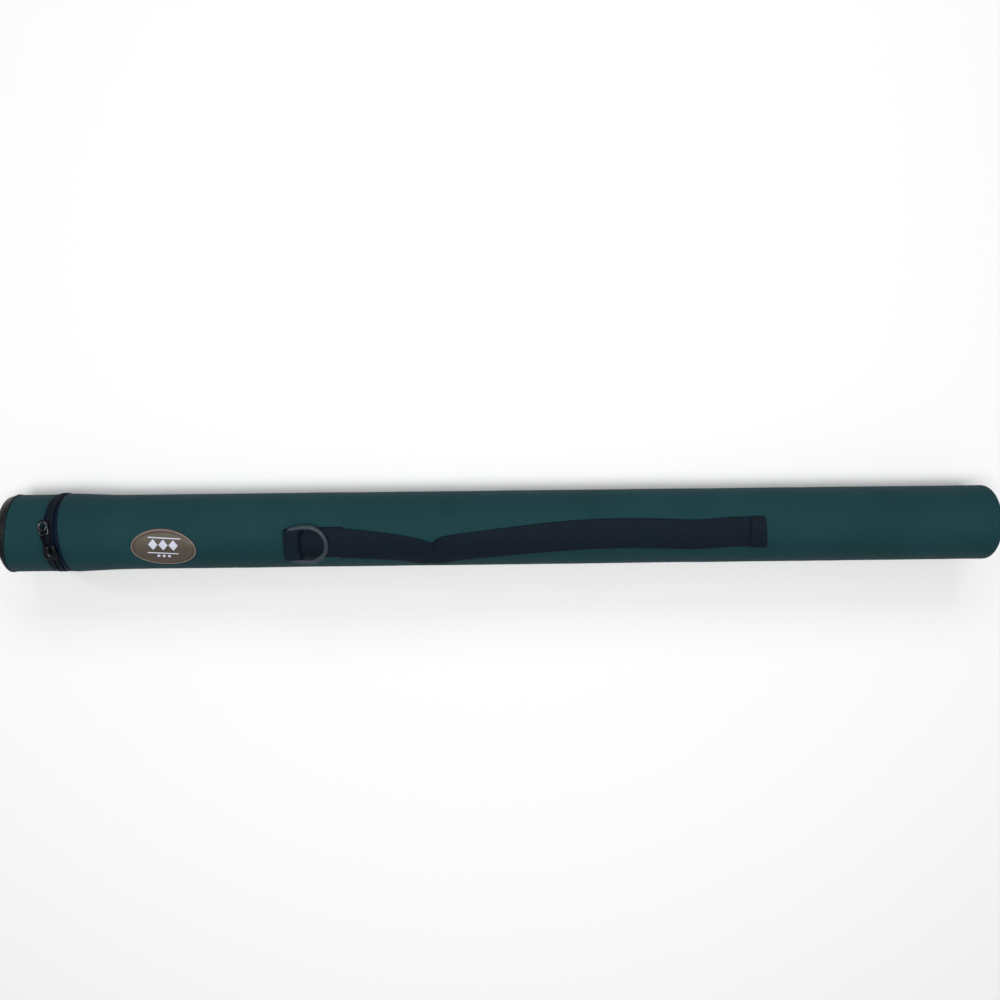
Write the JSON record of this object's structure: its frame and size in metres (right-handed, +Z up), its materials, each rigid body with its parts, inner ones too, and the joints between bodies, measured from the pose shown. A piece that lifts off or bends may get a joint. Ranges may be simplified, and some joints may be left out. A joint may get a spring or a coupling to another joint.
{
  "type": "cue case",
  "caption": "Round hard tube case for a two-piece billiard cue, with a zipped lid on a fabric hinge, inner liners, a D-ring and a webbing carry strap.",
  "frame": {"origin": "on the surface that the case lies on, under the middle of its length", "axes": "+X along the tube from the zipped lid to the plain end, +Z up, -Y to the side that the lid swings to"},
  "size_m": [0.815, 0.0657, 0.0734],
  "materials": {
    "green_nylon": "dark green woven nylon with a slight sheen",
    "black_vinyl": "glossy grained black vinyl",
    "piping": "black covered cord",
    "zip_tape": "black woven polyester tape",
    "zip_coil": "black nylon coil",
    "slider_metal": "black nickel",
    "badge_metal": "satin brown bronze",
    "badge_print": "pale enamel",
    "webbing": "black ribbed webbing",
    "thread": "black thread",
    "ring_metal": "gunmetal",
    "shell_plastic": "extruded plastic",
    "liner_plastic": "moulded plastic",
    "foam": "foam with a felt face"
  },
  "bodies": {
    "case": {"tube_cover": "green_nylon", "mouth_padding": "foam", "tube_shell": "shell_plastic", "end_panel": "green_nylon", "end_plug": "shell_plastic", "butt_tube": "liner_plastic", "shaft_tube_left": "liner_plastic", "shaft_tube_right": "liner_plastic", "mouth_collar": "liner_plastic", "end_collar": "liner_plastic", "bottom_pad": "foam", "zip_tape_body": "zip_tape", "zip_coil_body": "zip_coil", "zip_stops": "slider_metal", "hinge_flap_body": "zip_tape", "badge_plate": "badge_metal", "badge_emblem": "badge_print", "ring_loop": "webbing", "carry_strap": "webbing", "strap_stitching": "thread"},
    "lid": {"lid_cover": "green_nylon", "lid_end_cap": "black_vinyl", "lid_piping": "piping", "lid_shell": "shell_plastic", "lid_pad": "foam", "zip_tape_lid": "zip_tape", "zip_coil_lid": "zip_coil", "hinge_flap_lid": "zip_tape"},
    "slider": {"zip_slider": "slider_metal"},
    "pull": {"zip_pull": "slider_metal"},
    "ring": {"d_ring": "ring_metal"}
  },
  "joints": [
    {"name": "lid_hinge", "type": "hinge", "parent": "case", "child": "lid", "pos_m": [-0.363, -0.0329, 0.0332], "axis": [0, 0, 1], "range_deg": [0, 150]},
    {"name": "slider_travel", "type": "hinge", "parent": "case", "child": "slider", "pos_m": [-0.363, 0, 0.0332], "axis": [1, 0, 0], "range_deg": [-228, 21]},
    {"name": "pull_tab", "type": "hinge", "parent": "slider", "child": "pull", "pos_m": [-0.363, -0.00854, 0.06879], "axis": [1, 0, 0], "range_deg": [0, 140]},
    {"name": "ring_swing", "type": "hinge", "parent": "case", "child": "ring", "pos_m": [-0.172, -0.00841, 0.06692], "axis": [0, -0.9703, -0.2419], "range_deg": [0, 170]}
  ]
}
